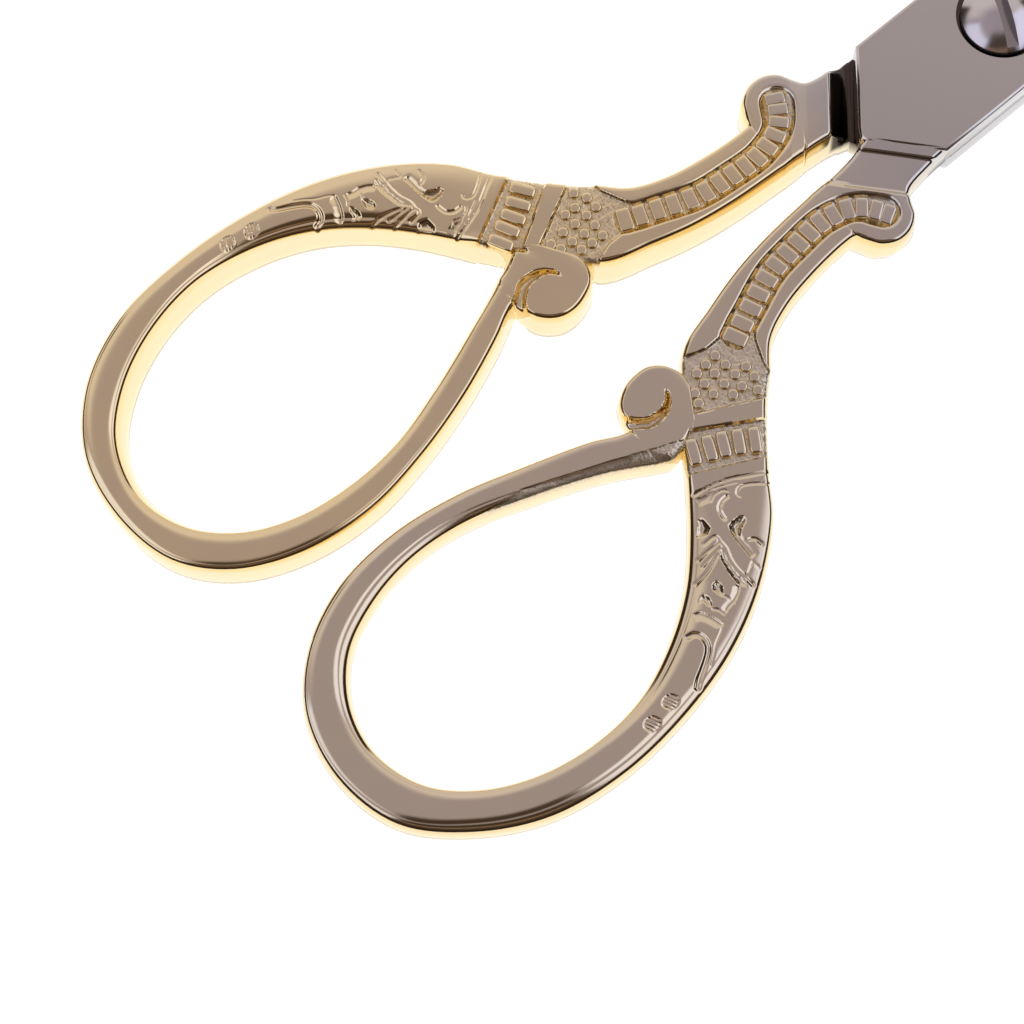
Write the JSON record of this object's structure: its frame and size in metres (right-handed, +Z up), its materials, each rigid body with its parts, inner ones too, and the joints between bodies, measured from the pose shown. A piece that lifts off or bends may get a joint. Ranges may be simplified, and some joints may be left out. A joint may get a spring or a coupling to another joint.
{
  "type": "embroidery scissors",
  "caption": "Small ornate embroidery scissors with slender pointed blades on a slotted pivot screw, scrolled and beaded shanks and teardrop finger bows, gold plating fading to steel.",
  "frame": {"origin": "pivot axis, on the plane that the closed scissors lie on", "axes": "+X along the middle line towards the points, +Y towards the rear half's bow, +Z up along the pivot axis"},
  "size_m": [0.1151, 0.0448, 0.0047],
  "materials": {
    "gold_plated_steel": "polished pale gold plating on the handles, fading to bare polished steel at the joint and blades",
    "screw_steel": "polished bright steel"
  },
  "bodies": {
    "rear": {"rear_half": "gold_plated_steel", "pivot_screw": "screw_steel"},
    "front": {"front_half": "gold_plated_steel"}
  },
  "joints": [
    {"name": "blade_pivot", "type": "hinge", "parent": "rear", "child": "front", "pos_m": [0, 0, 0.00185], "axis": [0, 0, 1], "range_deg": [0, 65]}
  ]
}
